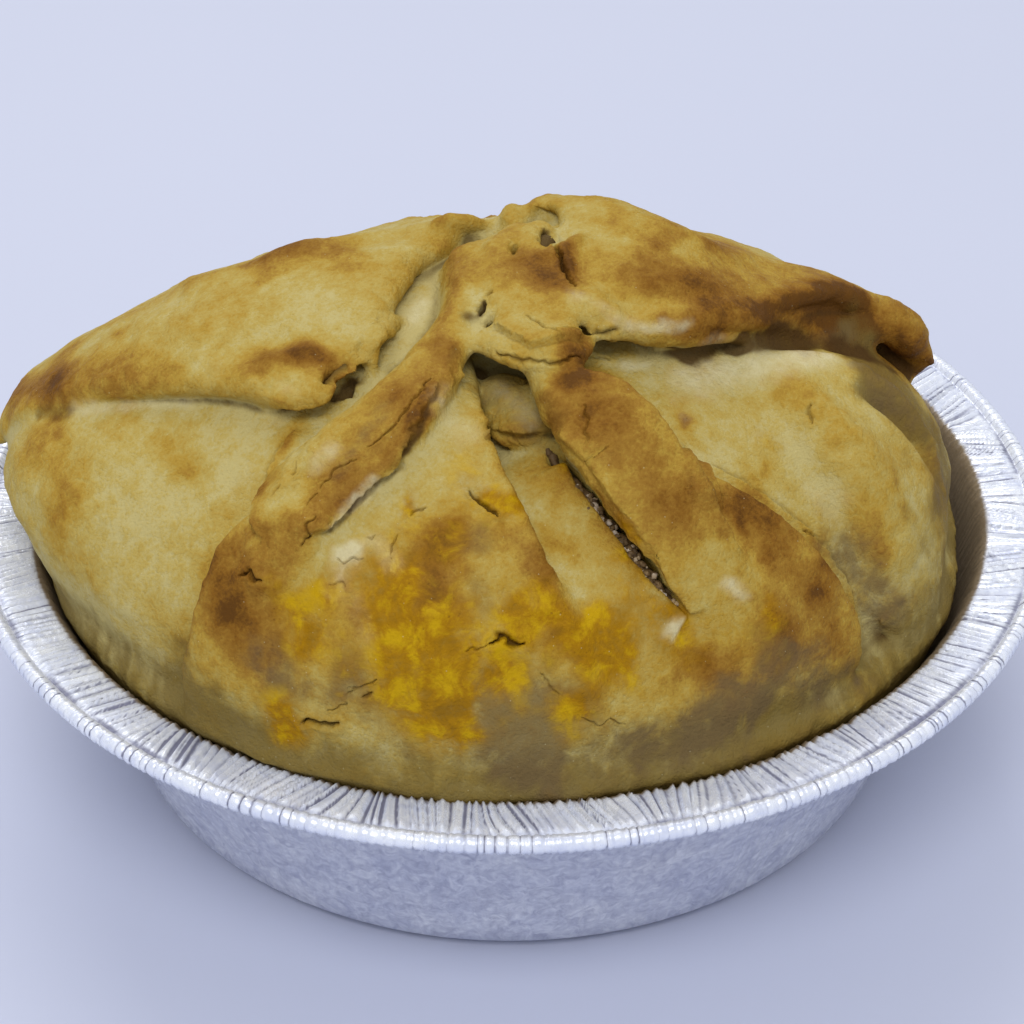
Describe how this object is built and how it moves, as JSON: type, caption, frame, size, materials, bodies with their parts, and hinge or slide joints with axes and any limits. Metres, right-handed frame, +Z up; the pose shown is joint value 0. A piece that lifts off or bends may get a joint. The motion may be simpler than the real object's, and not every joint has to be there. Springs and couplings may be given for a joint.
{
  "type": "shrimp pie in a foil tin",
  "caption": "Domed pie of dough gathered on top into folds, with a slit that shows its filling, in a crimped foil tin with a rolled edge.",
  "frame": {"origin": "middle of the tin's underside", "axes": "+Z up, -Y towards the front, where the slit and the wide belly of dough are, +X to the right seen from the front"},
  "size_m": [0.127, 0.127, 0.069],
  "materials": {
    "foil_tin": "thin crinkled foil, bright",
    "crust": "baked wheat dough, cream to golden brown, with a faint sheen",
    "filling": "dark moist crumbly filling"
  },
  "bodies": {
    "root": {"foil_tin": "foil_tin", "crust": "crust", "filling": "filling"}
  },
  "joints": []
}
